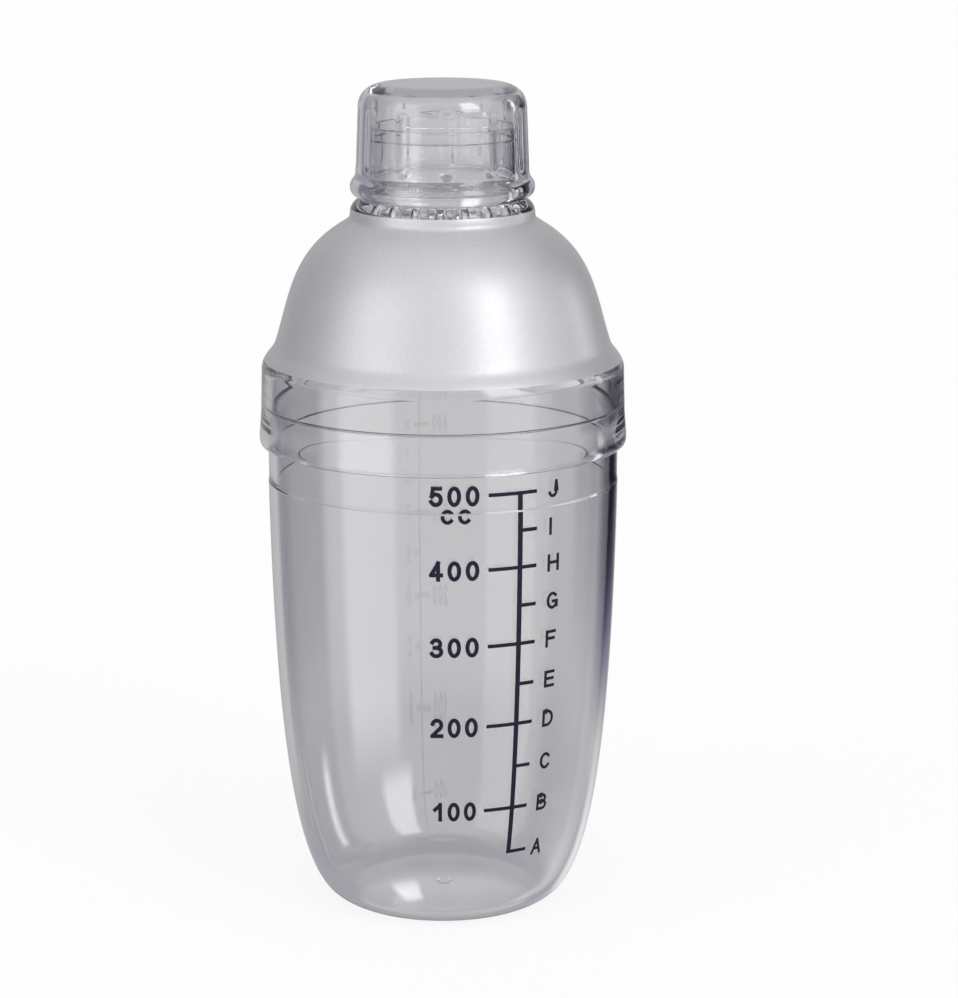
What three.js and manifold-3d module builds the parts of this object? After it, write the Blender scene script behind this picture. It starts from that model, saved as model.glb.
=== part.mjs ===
// Three-piece plastic cocktail shaker: a clear cup, a lid with a built-in strainer, and a push-on cap.
// Millimetres, +Z up. The origin is the centre of the foot, and the cup's printed scale faces -Y.
import * as THREE from "three";
import { mergeVertices } from "three/addons/utils/BufferGeometryUtils.js";
import Module from "manifold-3d";

const wasm = await Module();
wasm.setup();

// Driving dimensions
const SEGMENTS = 40; // facets round every turned piece
const GAP = 0.4; // clearance between pieces that touch on the real shaker

const CUP_WALL = 2.0;
const FOOT_RADIUS = 22.2;
const FOOT_CORNER = 10.4; // radius that turns the flat foot into the side
const DISH_RADIUS = 17.0; // shallow dish under the foot
const DISH_DEPTH = 0.8;
const CUP_STEP_Z = 107.3; // fine step round the outside, below the lid's skirt
const CUP_RADIUS = 43.0;
const CUP_STEP = 0.15;
const RIM_Z = 126.1;

const LID_WALL = 1.9;
const BAND_WALL = 2.1; // above the ledge that rests on the cup's rim
const SKIRT_Z = 116.4;
const SKIRT_RADIUS = 43.4; // inside, where it slides over the cup
const BEAD_RADIUS = 45.05; // the widest part of the shaker
const BAND_RADIUS = 44.3;
const SHOULDER_Z = 135.4; // top of the clear band, where the satin dome starts
const COLLAR_Z = 171.1; // top of the satin dome, where the clear collar starts
const COLLAR_RADIUS = 22.5;
const COLLAR_BORE = 19.2; // below the strainer plate
const COLLAR_TOP_Z = 176.2;

const STRAINER_Z = 173.3; // underside of the strainer plate
const STRAINER_THICKNESS = 1.6;
const STRAINER_HOLE_RADIUS = 1.25;
const STRAINER_HOLE_SIDES = 8;
const STRAINER_RINGS = [ // ring radius and number of holes
  [0, 1],
  [5.1, 6],
  [10.2, 12],
  [15.2, 18],
];

const NECK_RADIUS = 19.1;
const NECK_TOP_RADIUS = 18.7;
const NECK_WALL = 1.8;
const NECK_TOP_Z = 194.0;
const LEAD_IN_Z = 190.9; // above this the neck is a little slimmer, to guide the cap on
const LEAD_IN_STEP = 0.4;

const CAP_WALL = 1.5;
const CAP_BEAD_RADIUS = 22.42;
const CAP_RADIUS = 21.05; // just above the bead
const CAP_SHOULDER_RADIUS = 20.42;
const CAP_BEAD_TOP_Z = 182.4;
const CAP_SHOULDER_Z = 198.4;
const CAP_TOP_Z = 203.9;
const CAP_TOP_RADIUS = 14.0; // flat part of the top
const CAP_TOP_WALL = 1.9;

const FLUTES = 12;
const FLUTE_PHASE = 15; // degrees from the -Y side to the first flute
const FLUTE_CUT_RADIUS = 2.9;
const FLUTE_DEPTH = 0.5;
const FLUTE_BOTTOM_Z = 182.9;
const FLUTE_TOP_Z = 199.4;

// Outline helpers: a point is [radius, height].
const point = ([radius, height]) => new THREE.Vector2(radius, height);
const points = (...list) => list.map(point);

function arc(centre, radius, startDegrees, endDegrees, steps) {
  return Array.from({ length: steps + 1 }, (_, i) => {
    const angle = THREE.MathUtils.degToRad(startDegrees + ((endDegrees - startDegrees) * i) / steps);
    return new THREE.Vector2(centre[0] + radius * Math.cos(angle), centre[1] + radius * Math.sin(angle));
  });
}

// A cubic curve through its two end points, moved inwards by the wall where a wall is given.
function curve(start, startControl, endControl, end, steps, wall = 0) {
  const bezier = new THREE.CubicBezierCurve(...points(start, startControl, endControl, end));
  return Array.from({ length: steps + 1 }, (_, i) => {
    const along = bezier.getTangent(i / steps);
    return bezier.getPoint(i / steps).add(new THREE.Vector2(-along.y, along.x).multiplyScalar(wall));
  });
}

const reversed = (list) => [...list].reverse();

// An outline that runs from the axis, up the outside, and back to the axis becomes a turned solid.
function turned(outline) {
  return new THREE.LatheGeometry(outline, SEGMENTS).rotateX(Math.PI / 2);
}

// Booleans
function solidOf(geometry) {
  const bare = geometry.clone();
  bare.deleteAttribute("normal");
  bare.deleteAttribute("uv");
  const merged = mergeVertices(bare, 1e-3);
  return new wasm.Manifold(
    new wasm.Mesh({
      numProp: 3,
      vertProperties: new Float32Array(merged.attributes.position.array),
      triVerts: new Uint32Array(merged.index.array),
    }),
  );
}

function geometryOf(solid) {
  const { vertProperties, triVerts } = solid.getMesh();
  const geometry = new THREE.BufferGeometry();
  geometry.setAttribute("position", new THREE.BufferAttribute(vertProperties, 3));
  geometry.setIndex(new THREE.BufferAttribute(triVerts, 1));
  geometry.computeVertexNormals();
  return geometry;
}

function cut(body, tools) {
  return geometryOf(tools.reduce((solid, tool) => solid.subtract(solidOf(tool)), solidOf(body)));
}

// Place a tool round the axis, at degrees counted from the -Y side towards +X.
function placed(tool, radius, degrees, height) {
  const angle = THREE.MathUtils.degToRad(degrees);
  return tool.translate(radius * Math.sin(angle), -radius * Math.cos(angle), height);
}

// The foot's dish from its middle out to the flat ring, height above which it rises.
function dish(height) {
  return Array.from({ length: 6 }, (_, i) => {
    const share = i / 5;
    return new THREE.Vector2(DISH_RADIUS * share, height + DISH_DEPTH * (1 - share ** 2) ** 2);
  });
}

// Cup: open at the top, with a flat foot round a shallow dish.
function cupGeometry() {
  const cornerCentre = [FOOT_RADIUS, FOOT_CORNER];
  const cornerEnd = -38;
  const cornerStart = arc(cornerCentre, FOOT_CORNER, cornerEnd, cornerEnd, 1)[0];
  const side = [[cornerStart.x, cornerStart.y], [38.4, 14.6], [42.1, 49.0], [CUP_RADIUS, CUP_STEP_Z]];
  return turned([
    ...dish(0),
    ...arc(cornerCentre, FOOT_CORNER, -90, cornerEnd, 5),
    ...curve(...side, 10).slice(1),
    ...points([CUP_RADIUS - CUP_STEP, CUP_STEP_Z + CUP_STEP], [CUP_RADIUS, RIM_Z - 0.3]),
    ...points([CUP_RADIUS - 0.3, RIM_Z], [CUP_RADIUS - CUP_WALL + 0.3, RIM_Z]),
    ...points([CUP_RADIUS - CUP_WALL, RIM_Z - 0.3]),
    ...reversed(curve(...side, 8, CUP_WALL)),
    ...reversed(arc(cornerCentre, FOOT_CORNER - CUP_WALL, -90, cornerEnd, 4)).slice(1),
    ...reversed(dish(CUP_WALL)),
  ]);
}

// Strainer lid: skirt and band over the cup, dome, collar, strainer plate and pouring neck in one piece.
function lidOutline() {
  const dome = [[40.9, 141.4], [37.4, 152.4], [36.8, 162.9], [24.7, 170.1]];
  const ledge = RIM_Z + GAP;
  const insideBand = BAND_RADIUS - BAND_WALL;
  const plateTop = STRAINER_Z + STRAINER_THICKNESS;
  const leadInRadius = NECK_TOP_RADIUS - LEAD_IN_STEP;
  const neckInside = NECK_RADIUS - NECK_WALL;
  const neckTopInside = NECK_TOP_RADIUS - NECK_WALL;
  return [
    ...points([0, STRAINER_Z], [COLLAR_BORE, STRAINER_Z], [COLLAR_BORE, COLLAR_Z]),
    ...reversed(curve(...dome, 7, LID_WALL)),
    ...points([insideBand, SHOULDER_Z + 1.5], [insideBand, ledge], [SKIRT_RADIUS, ledge]),
    ...points([SKIRT_RADIUS, SKIRT_Z], [SKIRT_RADIUS + 0.7, SKIRT_Z]),
    ...curve([44.1, SKIRT_Z], [44.8, 116.4], [BEAD_RADIUS, 117.0], [BEAD_RADIUS, 118.0], 3).slice(1),
    ...points([44.8, 120.6], [BAND_RADIUS, SHOULDER_Z]),
    ...curve([BAND_RADIUS, SHOULDER_Z], [43.9, 138.0], [41.5, 139.2], dome[0], 4).slice(1),
    ...curve(...dome, 9).slice(1),
    ...curve(dome[3], [23.3, COLLAR_Z], [COLLAR_RADIUS, 171.3], [COLLAR_RADIUS, 172.6], 2).slice(1),
    ...curve([COLLAR_RADIUS, 172.6], [COLLAR_RADIUS, 174.6], [21.4, 175.8], [20.0, COLLAR_TOP_Z], 3).slice(1),
    ...points([NECK_RADIUS, COLLAR_TOP_Z], [NECK_TOP_RADIUS, LEAD_IN_Z]),
    ...points([leadInRadius, LEAD_IN_Z + LEAD_IN_STEP], [leadInRadius, NECK_TOP_Z - 0.5]),
    ...points([leadInRadius - 0.5, NECK_TOP_Z], [neckTopInside + 0.4, NECK_TOP_Z]),
    ...points([neckTopInside, NECK_TOP_Z - 0.5], [neckInside, plateTop], [0, plateTop]),
  ];
}

function strainerHoles() {
  const length = 3 * STRAINER_THICKNESS;
  return STRAINER_RINGS.flatMap(([radius, count]) =>
    Array.from({ length: count }, (_, i) => {
      const hole = new THREE.CylinderGeometry(
        STRAINER_HOLE_RADIUS, STRAINER_HOLE_RADIUS, length, STRAINER_HOLE_SIDES,
      ).rotateX(Math.PI / 2);
      return placed(hole, radius, (360 * i) / count, STRAINER_Z + STRAINER_THICKNESS / 2);
    }),
  );
}

// Cap: open below, with a bead round its lip and a flat top.
function capOutline() {
  const shoulder = [
    [CAP_SHOULDER_RADIUS, CAP_SHOULDER_Z], [20.3, 201.8], [17.6, CAP_TOP_Z], [CAP_TOP_RADIUS, CAP_TOP_Z],
  ];
  const innerTop = CAP_TOP_Z - CAP_TOP_WALL;
  const innerSide = CAP_SHOULDER_RADIUS - CAP_WALL;
  const innerShoulder = [
    [innerSide, CAP_SHOULDER_Z], [innerSide - 0.05, 200.6], [18.0, innerTop], [15.8, innerTop],
  ];
  const lip = COLLAR_TOP_Z + GAP;
  const boreAtLip = NECK_RADIUS + GAP;
  return [
    ...points([0, innerTop]),
    ...reversed(curve(...innerShoulder, 5)),
    ...points([boreAtLip, CAP_BEAD_TOP_Z], [boreAtLip + 0.1, lip]),
    ...curve([20.1, lip], [21.8, 176.8], [CAP_BEAD_RADIUS, 178.0], [CAP_BEAD_RADIUS, 179.3], 4),
    ...curve([CAP_BEAD_RADIUS, 179.3], [22.4, 180.8], [21.3, 181.2], [CAP_RADIUS, CAP_BEAD_TOP_Z], 3).slice(1),
    ...curve(...shoulder, 7),
    ...points([0, CAP_TOP_Z]),
  ];
}

function flutes() {
  const straight = FLUTE_TOP_Z - FLUTE_BOTTOM_Z - 2 * FLUTE_CUT_RADIUS;
  const middle = (FLUTE_TOP_Z + FLUTE_BOTTOM_Z) / 2;
  const centreRadius = (CAP_RADIUS + CAP_SHOULDER_RADIUS) / 2 - FLUTE_DEPTH + FLUTE_CUT_RADIUS;
  return Array.from({ length: FLUTES }, (_, i) => {
    const tool = new THREE.CapsuleGeometry(FLUTE_CUT_RADIUS, straight, 4, 16).rotateX(Math.PI / 2);
    return placed(tool, centreRadius, FLUTE_PHASE + (360 * i) / FLUTES, middle);
  });
}

function piece(name, geometry, colour, roughness, opacity) {
  const material = new THREE.MeshStandardMaterial({ color: colour, roughness, metalness: 0 });
  material.transparent = opacity < 1;
  material.opacity = opacity;
  const mesh = new THREE.Mesh(geometry, material);
  mesh.name = name;
  return mesh;
}

const shaker = new THREE.Group();
shaker.add(
  piece("cup", cupGeometry(), 0xd4d5d8, 0.06, 0.4),
  piece("strainer_lid", cut(turned(lidOutline()), strainerHoles()), 0xbfc0c3, 0.35, 0.85),
  piece("cap", cut(turned(capOutline()), flutes()), 0xcfd0d4, 0.08, 0.45),
);

export default shaker;
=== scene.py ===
"""Looks for a clear plastic three-piece cocktail shaker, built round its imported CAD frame.

The outlines are in millimetres from the centre of the foot, as [radius, height], and MM turns them into
the frame's metres. The camera stands on the side that carries the cup's printed scale.
"""

import math

import bmesh
import bpy
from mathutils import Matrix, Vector
from mathutils.geometry import delaunay_2d_cdt


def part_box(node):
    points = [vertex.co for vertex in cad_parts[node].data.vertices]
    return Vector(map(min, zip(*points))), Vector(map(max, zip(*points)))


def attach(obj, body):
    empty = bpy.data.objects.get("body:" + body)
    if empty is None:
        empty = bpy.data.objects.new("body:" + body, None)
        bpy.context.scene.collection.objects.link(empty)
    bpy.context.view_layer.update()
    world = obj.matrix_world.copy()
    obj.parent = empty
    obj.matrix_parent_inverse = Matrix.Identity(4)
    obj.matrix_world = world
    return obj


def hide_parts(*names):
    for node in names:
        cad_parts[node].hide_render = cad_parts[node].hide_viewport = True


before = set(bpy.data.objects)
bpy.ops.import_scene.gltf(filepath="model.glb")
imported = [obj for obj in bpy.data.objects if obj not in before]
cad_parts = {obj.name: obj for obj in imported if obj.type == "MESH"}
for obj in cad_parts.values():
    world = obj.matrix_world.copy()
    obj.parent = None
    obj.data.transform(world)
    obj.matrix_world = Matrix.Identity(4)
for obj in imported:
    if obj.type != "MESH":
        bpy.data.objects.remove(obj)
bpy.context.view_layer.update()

MM = 0.001
SEGMENTS = 256  # facets round each turned piece
FILLET_STEPS = 4
SHARP_ANGLE = 28  # degrees, from where an edge is shaded sharp

# Sizes that the CAD frame gives
cup_low, cup_high = (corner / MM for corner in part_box("cup"))
lid_low, lid_high = (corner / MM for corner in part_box("strainer_lid"))
cap_low, cap_high = (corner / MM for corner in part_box("cap"))
CUP_RADIUS = cup_high.x
RIM_Z = cup_high.z
SKIRT_Z = lid_low.z
BEAD_RADIUS = lid_high.x
NECK_TOP_Z = lid_high.z
LIP_Z = cap_low.z
CAP_BEAD_RADIUS = cap_high.x
CAP_TOP_Z = cap_high.z

# Cup
CUP_WALL = 2.0
FOOT_RADIUS = 22.2
FOOT_CORNER = 10.4
FOOT_CORNER_END = -38  # degrees, where the corner meets the side
DISH_RADIUS = 17.0  # a shallow dish under the foot
DISH_DEPTH = 0.8
GATE_RADIUS = 1.6  # mark left by the moulding gate, in the middle of the dish
GATE_HEIGHT = 0.35
STEP_Z = 107.3
STEP = 0.15
SIDE_CONTROLS = ((38.4, 14.6), (42.1, 49.0))

# Lid
LID_WALL = 1.9
BEAD_Z = 118.0
FLARE_TOP = (44.6, 124.6)  # where the bead's flare meets the straight band
BAND_RADIUS = 44.3
BAND_WALL = 2.1
SKIRT_RADIUS = 43.4
SHOULDER_Z = 135.4
LEDGE_Z = RIM_Z + 0.4
CLEAR_EDGE = 4  # steps of the shoulder's curve below the frosting
FROST_END = 3  # steps of the collar's curve that the frosting still covers
DOME = ((40.9, 141.4), (37.4, 152.4), (36.8, 162.9), (24.7, 170.1))
COLLAR_Z = 171.1
COLLAR_RADIUS = 22.5
COLLAR_BORE = 19.2
COLLAR_TOP_Z = 176.2
PLATE_Z = 173.3
PLATE_THICKNESS = 1.6
HOLE_RADIUS = 1.25
HOLE_CHAMFER = 0.15
HOLE_SIDES = 24
HOLE_RINGS = ((0.0, 1), (5.1, 6), (10.2, 12), (15.2, 18))
NECK_RADIUS = 19.1
NECK_TOP_RADIUS = 18.7
NECK_WALL = 1.8
LEAD_IN_Z = 190.9
LEAD_IN_STEP = 0.4

# Cap
CAP_WALL = 1.5
CAP_RADIUS = 21.05
CAP_SHOULDER_RADIUS = 20.42
CAP_BEAD_TOP_Z = 182.4
CAP_SHOULDER_Z = 198.4
CAP_TOP_RADIUS = 14.0
CAP_TOP_WALL = 1.9
FLUTES = 12
FLUTE_PHASE = 15
FLUTE_HALF_WIDTH = 2.0
FLUTE_DEPTH = 0.5
FLUTE_BOTTOM_Z = 182.9
FLUTE_TOP_Z = 199.4

# Printed scale: widths in millimetres round the cup at its widest radius, heights above the base
BAR_ANGLE = 7.0  # degrees from the -Y side to the upright bar
PRINT_OUT = 0.05  # how far the ink stands out of the cup
PRINT_IN = 0.03  # and how far it sinks in
MARKS = (111.75, 102.7, 93.7, 84.3, 74.85, 64.75, 54.75, 43.8, 33.05, 21.2)  # from J down to A
LETTERS = "JIHGFEDCBA"
NUMBERS = {0: "500", 2: "400", 4: "300", 6: "200", 8: "100"}
BAR_WIDTH = 1.28
INK_COLUMN = 0.8  # width and height of the pieces that the ink is cut into, so that it wraps round
INK_ROW = 2.0
INK_LEFT = -25
INK_COLUMNS = 50
INK_ROWS = 60
INK_MARGIN = 30
TICK_HEIGHT = 0.9
TICK_LEFT = -8.0
TICK_RIGHT = 4.5
DIGIT_CENTRES = (-20.5, -16.2, -11.85)
DIGIT_SIZE = (3.3, 4.95)
DIGIT_STROKE = 1.0
LETTER_LEFT = 7.75
LETTER_SIZE = (3.5, 4.25)
LETTER_STROKE = 0.76
UNIT_CENTRES = (-17.8, -13.7)
UNIT_SIZE = (3.25, 3.6)
UNIT_Z = 106.85
UNIT_STROKE = 0.9

# Studio: directions are seen from the shaker, azimuth 0 towards the camera and positive to its right
CAMERA_AZIMUTH = -18  # degrees from -Y towards +X
CAMERA_ELEVATION = 12.9
CAMERA_DISTANCE = 0.8
CAMERA_MIDDLE = (0, 0, 0.1014)  # metres, the point that the camera turns round
CAMERA_SHIFT = 0.00883  # metres, how far to the right of it the camera looks
CAMERA_LENS = 116.7
FLOOR_RADIUS = 14.0  # metres
FLOOR_SIDES = 96
FRONT_LIGHT = 1.2
BACK_LIGHT = 0.50
FLOOR_GLOW = 0.88  # how much of the floor the camera sees as plain white, over its own light and shadow
LIGHT_PANELS = (  # name, azimuths, elevations and softness of the edge in degrees, strength
    ("overhead", (-190, 190), (62, 100), 20, 1.0),
    ("low", (-190, 190), (-50, -22), 3, 0.42),
    ("dark_right", (98, 150), (-17, 45), 5, 0.02),
    ("dark_edge", (140, 166), (-17, -8), 4, 0.02),
    ("dark_left", (-142, -84), (-20, 40), 5, 0.25),
    ("low_right", (150, 172), (-32, -20), 4, 0.85),
    ("rim_light", (112, 119), (-7, 18), 2, 4.0),
    ("table_patch", (-60, -30), (-66, -53), 3, 4.0),
    ("right_softbox", (28, 54), (6, 50), 4, 5.0),
    ("left_softbox", (-70, -32), (-26, 40), 4, 2.2),
)


# ---------------------------------------------------------------- outlines
def arc(centre, radius, start, end, steps):
    """Points on part of a circle, its angles in degrees."""
    angles = [math.radians(start + (end - start) * i / steps) for i in range(steps + 1)]
    return [(centre[0] + radius * math.cos(a), centre[1] + radius * math.sin(a)) for a in angles]


def curve(controls, steps, wall=0.0):
    """Points on a cubic curve, moved inwards by wall."""
    p0, p1, p2, p3 = (Vector(p) for p in controls)
    points = []
    for i in range(steps + 1):
        t = i / steps
        u = 1 - t
        place = u**3 * p0 + 3 * u * u * t * p1 + 3 * u * t * t * p2 + t**3 * p3
        along = (u * u * (p1 - p0) + 2 * u * t * (p2 - p1) + t * t * (p3 - p2)).normalized()
        points.append((place.x - along.y * wall, place.y + along.x * wall))
    return points


def line(start, end, steps):
    """Points on a straight run, after its start. They keep the shading of a bend next to the bend."""
    (r0, z0), (r1, z1) = start, end
    return [(r0 + (r1 - r0) * i / steps, z0 + (z1 - z0) * i / steps) for i in range(1, steps + 1)]


def outline(*items):
    """Points of an outline, where an item with a third number is a corner rounded by about that much."""
    points = []
    for index, item in enumerate(items):
        if len(item) == 2:
            points.append(tuple(item))
            continue
        corner = Vector(item[:2])
        back = Vector(items[index - 1][:2]) - corner
        ahead = Vector(items[index + 1][:2]) - corner
        size_back = min(item[2], 0.45 * back.length)
        size_ahead = min(item[2], 0.45 * ahead.length)
        start = corner + back.normalized() * size_back
        end = corner + ahead.normalized() * size_ahead
        points.append(tuple(corner + back.normalized() * size_back * 1.1))
        for i in range(FILLET_STEPS + 1):
            t = i / FILLET_STEPS
            points.append(tuple((1 - t) ** 2 * start + 2 * t * (1 - t) * corner + t * t * end))
        points.append(tuple(corner + ahead.normalized() * size_ahead * 1.1))
    return points


def cup_side(wall=0.0, steps=56):
    """The cup from the flat of its foot to the step below the lid."""
    corner = arc((FOOT_RADIUS, FOOT_CORNER), FOOT_CORNER - wall, -90, FOOT_CORNER_END, 14)
    start = arc((FOOT_RADIUS, FOOT_CORNER), FOOT_CORNER, FOOT_CORNER_END, FOOT_CORNER_END, 1)[0]
    return corner + curve((start, *SIDE_CONTROLS, (CUP_RADIUS, STEP_Z)), steps, wall)[1:]


def dish(height, first=0.0):
    """The foot's shallow dish from near its middle out to the flat ring."""
    radii = [first + (DISH_RADIUS - first) * i / 12 for i in range(13)]
    return [(r, height + DISH_DEPTH * (1 - (r / DISH_RADIUS) ** 2) ** 2) for r in radii]


def cup_outline():
    inside = CUP_RADIUS - CUP_WALL
    gate_z = DISH_DEPTH - GATE_HEIGHT
    return outline(
        (0, gate_z),
        (GATE_RADIUS, gate_z, 0.15),
        *dish(0, GATE_RADIUS + 0.2),
        *cup_side()[:-1],
        (CUP_RADIUS, STEP_Z, 0.15),
        (CUP_RADIUS - STEP, STEP_Z + 0.4, 0.15),
        (CUP_RADIUS, RIM_Z, 0.4),
        (inside, RIM_Z, 0.4),
        *reversed(cup_side(CUP_WALL)),
        *reversed(dish(CUP_WALL)),
    )


def lid_sections():
    """The lid from the strainer plate's underside round to the plate's top, as clear and frosted runs."""
    inside = BAND_RADIUS - BAND_WALL
    neck_inside = NECK_RADIUS - NECK_WALL
    neck_top_inside = NECK_TOP_RADIUS - NECK_WALL
    lead_in = NECK_TOP_RADIUS - LEAD_IN_STEP
    plate_top = PLATE_Z + PLATE_THICKNESS
    inner = outline(
        (COLLAR_BORE - 0.5, PLATE_Z),
        (COLLAR_BORE, PLATE_Z, 0.3),
        (COLLAR_BORE, COLLAR_Z, 0.8),
        *reversed(curve(DOME, 40, LID_WALL)),
        (inside, SHOULDER_Z + 1.5, 1.2),
        (inside, LEDGE_Z, 0.2),
        (SKIRT_RADIUS, LEDGE_Z, 0.2),
        (SKIRT_RADIUS, SKIRT_Z, 0.25),
        *curve(((44.1, SKIRT_Z), (44.8, SKIRT_Z), (BEAD_RADIUS, 117.0), (BEAD_RADIUS, BEAD_Z)), 8),
        *curve(((BEAD_RADIUS, BEAD_Z), (BEAD_RADIUS, 119.6), (44.76, 121.4), FLARE_TOP), 12)[1:],
        *line(FLARE_TOP, (BAND_RADIUS, SHOULDER_Z), 16),
    )
    shoulder = curve(((BAND_RADIUS, SHOULDER_Z), (43.9, 138.0), (41.5, 139.2), DOME[0]), 16)
    collar_side = (COLLAR_RADIUS, 172.6)
    collar_edge = (20.0, COLLAR_TOP_Z)
    dome_top = curve((DOME[3], (23.3, COLLAR_Z), (COLLAR_RADIUS, 171.3), collar_side), 12)
    collar = curve((collar_side, (COLLAR_RADIUS, 174.6), (21.4, 175.8), collar_edge), 12)
    inner += shoulder[1 : CLEAR_EDGE + 1]
    frosted = shoulder[CLEAR_EDGE:] + curve(DOME, 48)[1:] + dome_top[1:] + collar[1 : FROST_END + 1]
    neck = collar[FROST_END:]
    neck += outline(
        collar_edge,
        (NECK_RADIUS, COLLAR_TOP_Z, 0.3),
        (NECK_TOP_RADIUS, LEAD_IN_Z, 0.15),
        (lead_in, LEAD_IN_Z + LEAD_IN_STEP, 0.15),
        (lead_in, NECK_TOP_Z, 0.6),
        (neck_top_inside, NECK_TOP_Z, 0.6),
        (neck_inside, plate_top, 0.4),
        (neck_inside - 0.6, plate_top),
    )[1:]
    return [(0, inner), (1, frosted), (0, neck)]


def cap_outline():
    shoulder = (
        (CAP_SHOULDER_RADIUS, CAP_SHOULDER_Z),
        (20.3, 201.8),
        (17.6, CAP_TOP_Z),
        (CAP_TOP_RADIUS, CAP_TOP_Z),
    )
    inner_top = CAP_TOP_Z - CAP_TOP_WALL
    inner_side = CAP_SHOULDER_RADIUS - CAP_WALL
    inner_shoulder = (
        (inner_side, CAP_SHOULDER_Z),
        (inner_side - 0.05, 200.6),
        (18.0, inner_top),
        (15.8, inner_top),
    )
    bore = NECK_RADIUS + 0.4
    lip = 20.1
    bead_low = ((lip, LIP_Z), (21.8, LIP_Z + 0.2), (CAP_BEAD_RADIUS, 178.0), (CAP_BEAD_RADIUS, 179.3))
    bead_high = ((CAP_BEAD_RADIUS, 179.3), (22.4, 180.8), (21.3, 181.2), (CAP_RADIUS, CAP_BEAD_TOP_Z))
    return outline(
        (0, inner_top),
        *reversed(curve(inner_shoulder, 24)),
        *line((inner_side, CAP_SHOULDER_Z), (bore, CAP_BEAD_TOP_Z), 16),
        (bore + 0.1, LIP_Z, 0.2),
        *curve(bead_low, 10),
        *curve(bead_high, 10)[1:],
        *line((CAP_RADIUS, CAP_BEAD_TOP_Z), (CAP_SHOULDER_RADIUS, CAP_SHOULDER_Z), 48),
        *curve(shoulder, 30)[1:],
        (0, CAP_TOP_Z),
    )


# ---------------------------------------------------------------- meshes
def ring(radius, height, sides):
    """Points round the axis, counter-clockwise from +X."""
    turn = 2 * math.pi / sides
    return [(radius * math.cos(i * turn), radius * math.sin(i * turn), height) for i in range(sides)]


def turned(sections, carve=None):
    """Vertices, faces and material numbers of outlines turned round the axis. carve may move a point."""
    points, numbers = [], []
    for number, run in sections:
        points += run[1:] if points else run
        numbers += [number] * (len(run) - 1)
    vertices, rings = [], []
    for radius, height in points:
        start = len(vertices)
        if radius < 1e-6:
            vertices.append((0.0, 0.0, height))
            rings.append([start] * SEGMENTS)
            continue
        vertices += [carve(v) if carve else v for v in ring(radius, height, SEGMENTS)]
        rings.append(list(range(start, start + SEGMENTS)))
    faces, slots = [], []
    for low, high, number in zip(rings, rings[1:], numbers):
        for i in range(SEGMENTS):
            j = (i + 1) % SEGMENTS
            corners = dict.fromkeys((low[i], low[j], high[j], high[i]))
            if len(corners) > 2:
                faces.append(tuple(corners))
                slots.append(number)
    return vertices, faces, slots


def piece(name, parts, materials, body, replaces=None):
    """One object from parts, each with its vertices in millimetres, faces and material numbers."""
    vertices, faces, numbers = [], [], []
    for part_vertices, part_faces, part_numbers in parts:
        start = len(vertices)
        vertices += [tuple(c * MM for c in v) for v in part_vertices]
        faces += [tuple(i + start for i in face) for face in part_faces]
        numbers += part_numbers
    mesh = bpy.data.meshes.new(name)
    mesh.from_pydata(vertices, [], faces)
    mesh.polygons.foreach_set("material_index", numbers)
    work = bmesh.new()
    work.from_mesh(mesh)
    bmesh.ops.remove_doubles(work, verts=work.verts, dist=1e-7)
    work.to_mesh(mesh)
    work.free()
    mesh.shade_smooth()
    mesh.set_sharp_from_angle(angle=math.radians(SHARP_ANGLE))
    for material in materials:
        mesh.materials.append(material)
    made = bpy.data.objects.new(name, mesh)
    bpy.context.scene.collection.objects.link(made)
    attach(made, body)
    if replaces:
        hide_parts(replaces)
    return made


def strainer_plate():
    """The perforated plate's top, underside and hole walls. Its rims meet the turned lid."""
    plate_top = PLATE_Z + PLATE_THICKNESS
    centres = [
        (radius * math.sin(2 * math.pi * i / count), -radius * math.cos(2 * math.pi * i / count))
        for radius, count in HOLE_RINGS
        for i in range(count)
    ]
    vertices, faces = [], []
    for height, rim, upwards in (
        (plate_top, NECK_RADIUS - NECK_WALL - 0.6, True),
        (PLATE_Z, COLLAR_BORE - 0.5, False),
    ):
        loops = [[Vector(p[:2]) for p in ring(rim, height, SEGMENTS)]]
        for x, y in centres:
            circle = ring(HOLE_RADIUS + HOLE_CHAMFER, height, HOLE_SIDES)
            loops.append([Vector((p[0] + x, p[1] + y)) for p in circle])
        flat, inputs = [], []
        for loop in loops:
            inputs.append(list(range(len(flat), len(flat) + len(loop))))
            flat += loop
        made, _, cells, _, _, sources = delaunay_2d_cdt(flat, [], inputs, 0, 1e-6)
        start = len(vertices)
        vertices += [(p.x, p.y, height) for p in made]
        for cell, source in zip(cells, sources):
            if source == [0]:
                corners = [i + start for i in cell]
                faces.append(tuple(corners if upwards else reversed(corners)))
    levels = (
        (HOLE_RADIUS + HOLE_CHAMFER, PLATE_Z),
        (HOLE_RADIUS, PLATE_Z + HOLE_CHAMFER),
        (HOLE_RADIUS, plate_top - HOLE_CHAMFER),
        (HOLE_RADIUS + HOLE_CHAMFER, plate_top),
    )
    for x, y in centres:
        start = len(vertices)
        for radius, height in levels:
            vertices += [(p[0] + x, p[1] + y, height) for p in ring(radius, height, HOLE_SIDES)]
        for level in range(len(levels) - 1):
            low = start + level * HOLE_SIDES
            high = low + HOLE_SIDES
            for i in range(HOLE_SIDES):
                j = (i + 1) % HOLE_SIDES
                faces.append((low + j, low + i, high + i, high + j))
    return vertices, faces, [0] * len(faces)


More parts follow.
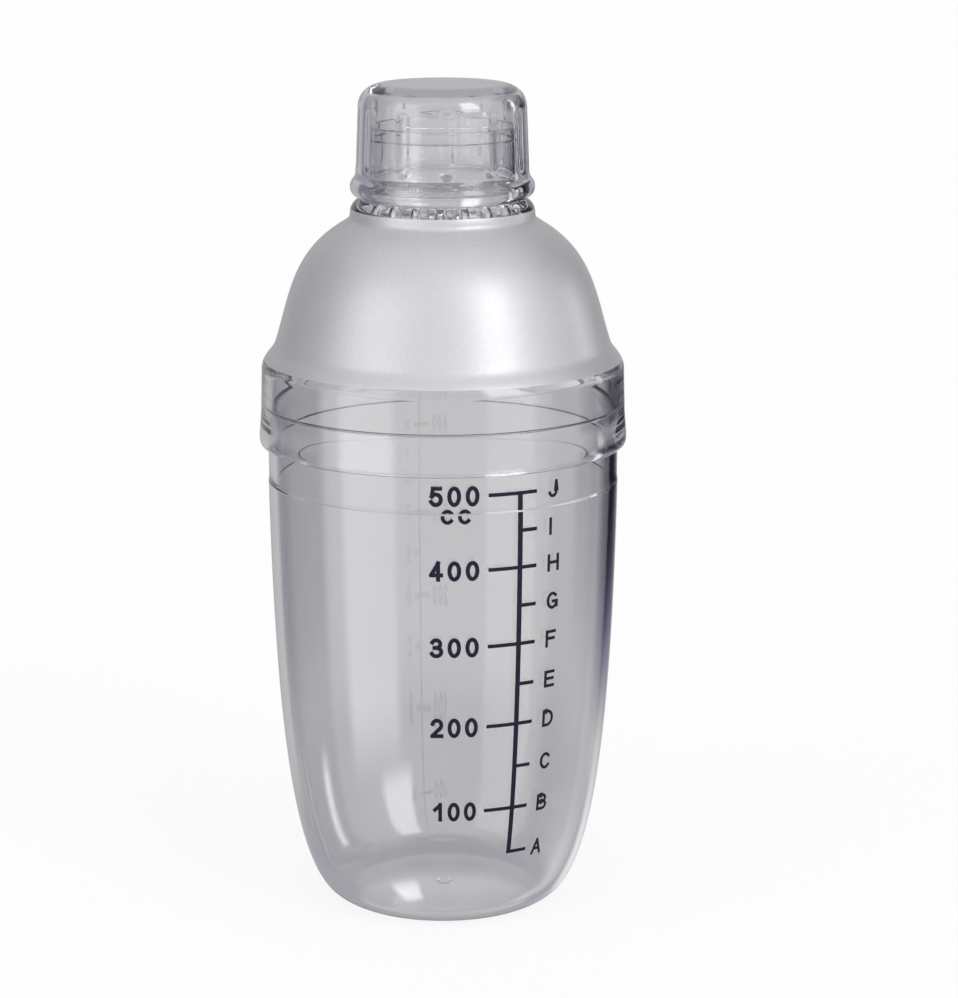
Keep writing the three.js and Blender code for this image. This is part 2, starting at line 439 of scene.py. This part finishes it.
def flute(point):
    """Press the cap's twelve flutes into its outer wall."""
    x, y, height = point
    radius = math.hypot(x, y)
    if radius < CAP_SHOULDER_RADIUS - 0.5 or not FLUTE_BOTTOM_Z < height < FLUTE_TOP_Z:
        return point
    pitch = 360 / FLUTES
    degrees = math.degrees(math.atan2(x, -y)) - FLUTE_PHASE
    across = math.radians((degrees + pitch / 2) % pitch - pitch / 2) * radius
    ends = min(height - FLUTE_BOTTOM_Z, FLUTE_TOP_Z - height)
    past = max(0.0, FLUTE_HALF_WIDTH - ends)
    away = math.hypot(across, past) / FLUTE_HALF_WIDTH
    if away >= 1:
        return point
    depth = FLUTE_DEPTH * (1 - away**2) ** 1.5
    scale = (radius - depth) / radius
    return x * scale, y * scale, height


# ---------------------------------------------------------------- printed scale
def oval(start, end, centre=(0.5, 0.5), size=(0.5, 0.5), steps=20):
    """A stroke round part of an oval, in a box of 1 by 1, its angles in degrees."""
    angles = [math.radians(start + (end - start) * i / steps) for i in range(steps + 1)]
    return [(centre[0] + size[0] * math.cos(a), centre[1] + size[1] * math.sin(a)) for a in angles]


STEM = [(0, 0), (0, 1)]
GLYPHS = {
    "0": [oval(90, 450, steps=32)],
    "1": [[(1, 0), (1, 1)], [(0.9, 0.93), (0, 0.66)]],
    "2": [oval(165, -35, (0.5, 0.7), (0.48, 0.3)) + [(0.06, 0.05)], [(0, 0), (1, 0)]],
    "3": [
        oval(155, -90, (0.46, 0.76), (0.44, 0.24)),
        oval(90, -155, (0.48, 0.26), (0.52, 0.26)),
        [(0.3, 0.52), (0.48, 0.52)],
    ],
    "4": [[(0.7, 0), (0.7, 1)], [(0.7, 1), (0, 0.29)], [(0, 0.27), (1, 0.27)]],
    "5": [
        [(0.2, 1), (0.92, 1)],
        [(0.2, 1), (0.08, 0.52)],
        oval(140, -155, (0.48, 0.32), (0.52, 0.32)),
    ],
    "c": [oval(42, 318)],
    "A": [[(0, 0), (0.5, 1)], [(1, 0), (0.5, 1)], [(0.2, 0.34), (0.8, 0.34)]],
    "B": [
        STEM,
        [(0, 1), (0.5, 1)] + oval(90, -90, (0.5, 0.76), (0.38, 0.24)) + [(0, 0.52)],
        [(0, 0.52), (0.55, 0.52)] + oval(90, -90, (0.55, 0.26), (0.42, 0.26)) + [(0, 0)],
    ],
    "C": [oval(42, 318)],
    "D": [STEM, [(0, 1), (0.4, 1)] + oval(90, -90, (0.4, 0.5), (0.58, 0.5)) + [(0, 0)]],
    "E": [STEM, [(0, 0), (0.9, 0)], [(0, 0.52), (0.82, 0.52)], [(0, 1), (0.9, 1)]],
    "F": [STEM, [(0, 0.52), (0.78, 0.52)], [(0, 1), (0.88, 1)]],
    "G": [oval(45, 340), [(0.58, 0.44), (1, 0.44)], [(0.99, 0.12), (0.99, 0.44)]],
    "H": [STEM, [(1, 0), (1, 1)], [(0, 0.52), (1, 0.52)]],
    "I": [[(0.12, 0), (0.12, 1)]],
    "J": [[(0.75, 1), (0.75, 0.3)] + oval(0, -165, (0.38, 0.3), (0.37, 0.3))],
}


def rectangle(left, right, low, high):
    return [(left, low), (right, low), (right, high), (left, high)]


def ribbon(points, width):
    """Quads that follow a stroke, with square ends that reach half a width past it."""
    line = [Vector(p) for p in points]
    closed = (line[0] - line[-1]).length < 1e-6
    if not closed:
        line[0] += (line[0] - line[1]).normalized() * width / 2
        line[-1] += (line[-1] - line[-2]).normalized() * width / 2
    ways = [(b - a).normalized() for a, b in zip(line, line[1:])]
    sides = []
    for i, place in enumerate(line):
        before = ways[i - 1] if i or closed else ways[0]
        after = ways[i % len(ways)] if i < len(ways) or closed else ways[-1]
        middle = (before + after).normalized()
        normal = Vector((-middle.y, middle.x)) * width / 2 / max(0.5, middle.dot(after))
        sides.append((place - normal, place + normal))
    return [[a[0], b[0], b[1], a[1]] for a, b in zip(sides, sides[1:])]


def glyph(character, left, low, size, stroke):
    """A character's strokes as quads, in a box that starts at left and low."""
    width, height = size[0] - stroke, size[1] - stroke
    quads = []
    for points in GLYPHS[character]:
        placed = [(left + stroke / 2 + u * width, low + stroke / 2 + v * height) for u, v in points]
        quads += ribbon(placed, stroke)
    return quads


def printed_shapes():
    """Every bar, tick and character of the scale, laid out flat."""
    shapes = [rectangle(-BAR_WIDTH / 2, BAR_WIDTH / 2, MARKS[-1] - TICK_HEIGHT / 2, MARKS[0])]
    for row, (mark, letter) in enumerate(zip(MARKS, LETTERS)):
        left = TICK_LEFT if row in NUMBERS else -BAR_WIDTH / 2
        right = TICK_RIGHT + (1.1 if letter == "A" else 0)
        shapes.append(rectangle(left, right, mark - TICK_HEIGHT / 2, mark + TICK_HEIGHT / 2))
        shapes += glyph(letter, LETTER_LEFT, mark - LETTER_SIZE[1] / 2, LETTER_SIZE, LETTER_STROKE)
        for character, centre in zip(NUMBERS.get(row, ""), DIGIT_CENTRES):
            width = DIGIT_SIZE[0] * (0.72 if character == "1" else 1)
            size = (width, DIGIT_SIZE[1])
            low = mark - DIGIT_SIZE[1] / 2
            shapes += glyph(character, centre - width / 2, low, size, DIGIT_STROKE)
    for centre in UNIT_CENTRES:
        left = centre - UNIT_SIZE[0] / 2
        shapes += glyph("c", left, UNIT_Z - UNIT_SIZE[1] / 2, UNIT_SIZE, UNIT_STROKE)
    return shapes


def cup_radius_at(height, side):
    """The cup's outer radius, read from its outline."""
    for (r0, z0), (r1, z1) in zip(side, side[1:]):
        if z0 <= height <= z1:
            return r0 + (r1 - r0) * (height - z0) / (z1 - z0)
    return CUP_RADIUS - STEP


def scale_print():
    """The ink as one thin skin wrapped round the cup. It is missing where it crosses the step."""
    shapes = printed_shapes() + [rectangle(-INK_MARGIN, INK_MARGIN, STEP_Z - 0.15, STEP_Z + 0.3)]
    gap = len(shapes) - 1
    flat, inputs, slices = [], [], []
    for shape in shapes:
        inputs.append(list(range(len(flat), len(flat) + len(shape))))
        flat += [Vector(p) for p in shape]
    for i in range(INK_COLUMNS):
        x = INK_LEFT + INK_COLUMN * i
        slices.append((len(flat), len(flat) + 1))
        flat += [Vector((x, 0)), Vector((x, INK_ROW * INK_ROWS))]
    for i in range(INK_ROWS):
        slices.append((len(flat), len(flat) + 1))
        flat += [Vector((-INK_MARGIN, INK_ROW * i)), Vector((INK_MARGIN, INK_ROW * i))]
    made, _, cells, _, _, sources = delaunay_2d_cdt(flat, slices, inputs, 0, 1e-4)
    kept = [cell for cell, source in zip(cells, sources) if source and gap not in source]
    used = sorted({i for cell in kept for i in cell})
    place = {old: new for new, old in enumerate(used)}
    side = cup_side()
    vertices = []
    for lift in (PRINT_OUT, -PRINT_IN):
        for i in used:
            angle = math.radians(BAR_ANGLE) + made[i].x / CUP_RADIUS
            radius = cup_radius_at(made[i].y, side) + lift
            vertices.append((radius * math.sin(angle), -radius * math.cos(angle), made[i].y))
    count = len(used)
    faces = [tuple(place[i] for i in cell) for cell in kept]
    edges = {(face[i - 1], face[i]) for face in faces for i in range(len(face))}
    walls = [(b, a, a + count, b + count) for a, b in edges if (b, a) not in edges]
    faces += [tuple(i + count for i in reversed(face)) for face in faces]
    faces += sorted(walls)
    return vertices, faces, [0] * len(faces)


# ---------------------------------------------------------------- materials
def new_material(name):
    """A material with its principled shader and a place to add nodes."""
    material = bpy.data.materials.new(name)
    material.use_nodes = True
    tree = material.node_tree
    return material, tree, tree.nodes["Principled BSDF"]


def noise(tree, scale, detail=3.0, roughness=0.5, stretch=(1, 1, 1)):
    """Noise in the object's own space. Scale is in features a metre."""
    place = tree.nodes.new("ShaderNodeTexCoord")
    mapping = tree.nodes.new("ShaderNodeMapping")
    mapping.inputs["Scale"].default_value = stretch
    texture = tree.nodes.new("ShaderNodeTexNoise")
    texture.inputs["Scale"].default_value = scale
    texture.inputs["Detail"].default_value = detail
    texture.inputs["Roughness"].default_value = roughness
    tree.links.new(place.outputs["Object"], mapping.inputs["Vector"])
    tree.links.new(mapping.outputs["Vector"], texture.inputs["Vector"])
    return texture.outputs["Fac"]


def ramp(tree, source, low, high, start=0.3, end=0.7):
    """Colours or greys from low to high across the middle of a noise."""
    node = tree.nodes.new("ShaderNodeValToRGB")
    node.color_ramp.elements[0].position = start
    node.color_ramp.elements[1].position = end
    node.color_ramp.elements[0].color = low
    node.color_ramp.elements[1].color = high
    tree.links.new(source, node.inputs["Fac"])
    return node.outputs["Color"]


def grey(value):
    return (value, value, value, 1.0)


def bump(tree, source, distance, strength=1.0, below=None):
    """Bump from a height, its distance in metres, over another bump where one is given."""
    node = tree.nodes.new("ShaderNodeBump")
    node.inputs["Strength"].default_value = strength
    node.inputs["Distance"].default_value = distance
    tree.links.new(source, node.inputs["Height"])
    if below:
        tree.links.new(below, node.inputs["Normal"])
    return node.outputs["Normal"]


def clear_plastic(name, tint, absorption):
    """Glossy clear plastic with the faint waves and handling marks of a moulded piece."""
    material, tree, shader = new_material(name)
    link = tree.links.new
    darker = tuple(c * 0.985 for c in tint)
    link(ramp(tree, noise(tree, 60), (*darker, 1), (*tint, 1)), shader.inputs["Base Color"])
    scuffs = ramp(tree, noise(tree, 900, 4, 0.6, (1, 1, 0.35)), grey(0.012), grey(0.05), 0.45, 0.75)
    link(scuffs, shader.inputs["Roughness"])
    waves = bump(tree, noise(tree, 45, 1.0), 0.00008, 0.15)
    link(waves, shader.inputs["Normal"])
    shader.inputs["IOR"].default_value = 1.57
    shader.inputs["Transmission Weight"].default_value = 1.0
    volume = tree.nodes.new("ShaderNodeVolumeAbsorption")
    volume.inputs["Color"].default_value = (*absorption[:3], 1)
    volume.inputs["Density"].default_value = absorption[3]
    link(volume.outputs["Volume"], tree.nodes["Material Output"].inputs["Volume"])
    return material


def pearl_frost(name):
    """Satin pearl frosting: a fine even grain over a soft silvery grey."""
    material, tree, shader = new_material(name)
    link = tree.links.new
    link(
        ramp(tree, noise(tree, 2200, 2), (0.45, 0.45, 0.46, 1), (0.5, 0.5, 0.51, 1)),
        shader.inputs["Base Color"],
    )
    link(ramp(tree, noise(tree, 500, 3), grey(0.38), grey(0.44)), shader.inputs["Roughness"])
    grain = bump(tree, noise(tree, 5200, 2), 0.00003, 0.5)
    link(bump(tree, noise(tree, 60, 2), 0.0002, 0.2, grain), shader.inputs["Normal"])
    shader.inputs["Metallic"].default_value = 0.4
    shader.inputs["IOR"].default_value = 1.5
    shader.inputs["Coat Weight"].default_value = 0.35
    shader.inputs["Coat Roughness"].default_value = 0.32
    return material


def ink(name):
    """Screen-printed ink: near black with an indigo cast, slightly uneven."""
    material, tree, shader = new_material(name)
    link = tree.links.new
    link(
        ramp(tree, noise(tree, 1500, 3), (0.006, 0.005, 0.013, 1), (0.016, 0.012, 0.03, 1)),
        shader.inputs["Base Color"],
    )
    link(ramp(tree, noise(tree, 2500, 2), grey(0.35), grey(0.5)), shader.inputs["Roughness"])
    link(bump(tree, noise(tree, 4000, 2), 0.00001, 0.4), shader.inputs["Normal"])
    shader.inputs["Specular IOR Level"].default_value = 0.15
    return material


# ---------------------------------------------------------------- the shaker
clear = clear_plastic("clear_plastic", (0.95, 0.95, 0.955), (0.75, 0.76, 0.80, 26.0))
pearl = pearl_frost("pearl_frost")
print_ink = ink("scale_ink")

piece("cup_shell", [turned([(0, cup_outline())])], [clear], "cup_body", "cup")
piece("scale_print", [scale_print()], [print_ink], "cup_body")
piece(
    "strainer_lid_shell",
    [turned(lid_sections()), strainer_plate()],
    [clear, pearl],
    "lid_body",
    "strainer_lid",
)
piece("cap_shell", [turned([(0, cap_outline())], flute)], [clear], "cap_body", "cap")


# ---------------------------------------------------------------- studio
def camera():
    """The camera looks down a little at the printed side and holds the shaker left of the centre."""
    azimuth = math.radians(CAMERA_AZIMUTH)
    elevation = math.radians(CAMERA_ELEVATION)
    middle = Vector(CAMERA_MIDDLE)
    right = Vector((math.cos(azimuth), math.sin(azimuth), 0))
    towards = Vector((math.sin(azimuth), -math.cos(azimuth), 0))
    data = bpy.data.cameras.new("camera")
    data.lens = CAMERA_LENS
    data.sensor_width = 36
    data.sensor_fit = "AUTO"
    data.clip_start = 0.01
    data.clip_end = 100
    made = bpy.data.objects.new("camera", data)
    bpy.context.scene.collection.objects.link(made)
    made.location = middle + CAMERA_DISTANCE * (
        math.cos(elevation) * towards + Vector((0, 0, math.sin(elevation)))
    )
    target = middle + CAMERA_SHIFT * right
    made.rotation_euler = (target - made.location).to_track_quat("-Z", "Y").to_euler()
    bpy.context.scene.camera = made


def floor():
    """A plain white round floor, far wider than any view of the shaker."""
    mesh = bpy.data.meshes.new("floor")
    mesh.from_pydata(ring(FLOOR_RADIUS, 0, FLOOR_SIDES), [], [list(range(FLOOR_SIDES))])
    material, tree, shader = new_material("floor_white")
    link = tree.links.new
    link(ramp(tree, noise(tree, 3), grey(0.885), grey(0.9)), shader.inputs["Base Color"])
    shader.inputs["Roughness"].default_value = 0.8
    shader.inputs["Specular IOR Level"].default_value = 0.1
    rays = tree.nodes.new("ShaderNodeLightPath")
    lit = tree.nodes.new("ShaderNodeEmission")
    share = tree.nodes.new("ShaderNodeMath")
    share.operation = "MULTIPLY"
    share.inputs[1].default_value = FLOOR_GLOW
    blend = tree.nodes.new("ShaderNodeMixShader")
    link(rays.outputs["Is Camera Ray"], share.inputs[0])
    link(share.outputs[0], blend.inputs[0])
    link(shader.outputs[0], blend.inputs[1])
    link(lit.outputs[0], blend.inputs[2])
    link(blend.outputs[0], tree.nodes["Material Output"].inputs["Surface"])
    mesh.materials.append(material)
    made = bpy.data.objects.new("floor", mesh)
    bpy.context.scene.collection.objects.link(made)
    made.location.z = -0.0001
    made.visible_transmission = False  # the clear plastic is lit by the studio light alone
    made.visible_glossy = False


def studio_light():
    """Soft light from all round, set by direction. The camera itself sees white behind the shaker."""
    world = bpy.data.worlds.new("studio")
    bpy.context.scene.world = world
    world.use_nodes = True
    tree = world.node_tree
    link = tree.links.new

    def math_node(operation, *values):
        node = tree.nodes.new("ShaderNodeMath")
        node.operation = operation
        for socket, value in zip(node.inputs, values):
            if isinstance(value, (int, float)):
                socket.default_value = value
            else:
                link(value, socket)
        return node.outputs[0]

    def smooth(value, start, end, low=0.0, high=1.0):
        node = tree.nodes.new("ShaderNodeMapRange")
        node.interpolation_type = "SMOOTHSTEP"
        for socket, number in zip(node.inputs, (None, start, end, low, high)):
            if number is not None:
                socket.default_value = number
        link(value, node.inputs["Value"])
        return node.outputs["Result"]

    def mix(factor, low, high):
        return math_node("MULTIPLY_ADD", factor, math_node("SUBTRACT", high, low), low)

    place = tree.nodes.new("ShaderNodeTexCoord")
    turn = tree.nodes.new("ShaderNodeMapping")
    turn.inputs["Rotation"].default_value = (0, 0, -math.radians(CAMERA_AZIMUTH))
    split = tree.nodes.new("ShaderNodeSeparateXYZ")
    link(place.outputs["Generated"], turn.inputs["Vector"])
    link(turn.outputs["Vector"], split.inputs["Vector"])
    x, y, z = split.outputs
    azimuth = math_node("DEGREES", math_node("ARCTAN2", x, math_node("MULTIPLY", y, -1)))
    elevation = math_node("DEGREES", math_node("ARCSINE", z))
    light = smooth(math_node("ABSOLUTE", azimuth), 20, 170, FRONT_LIGHT, BACK_LIGHT)
    for _, (left, right), (low, high), edge, strength in LIGHT_PANELS:
        across = math_node(
            "MULTIPLY",
            smooth(azimuth, left - edge, left + edge),
            smooth(azimuth, right - edge, right + edge, 1, 0),
        )
        up = math_node(
            "MULTIPLY",
            smooth(elevation, low - edge, low + edge),
            smooth(elevation, high - edge, high + edge, 1, 0),
        )
        light = mix(math_node("MULTIPLY", across, up), light, strength)
    rays = tree.nodes.new("ShaderNodeLightPath")
    background = tree.nodes["Background"]
    tint = ramp(tree, light, (0.6, 0.52, 1, 1), (0.985, 0.985, 1, 1), 0.0, 0.5)
    link(tint, background.inputs["Color"])
    link(mix(rays.outputs["Is Camera Ray"], light, 1.0), background.inputs["Strength"])


camera()
floor()
studio_light()
bpy.context.scene.view_settings.view_transform = "Standard"
bpy.context.scene.cycles.max_bounces = 32
bpy.context.scene.cycles.transmission_bounces = 32
bpy.context.scene.cycles.glossy_bounces = 32  # light trapped inside the plastic
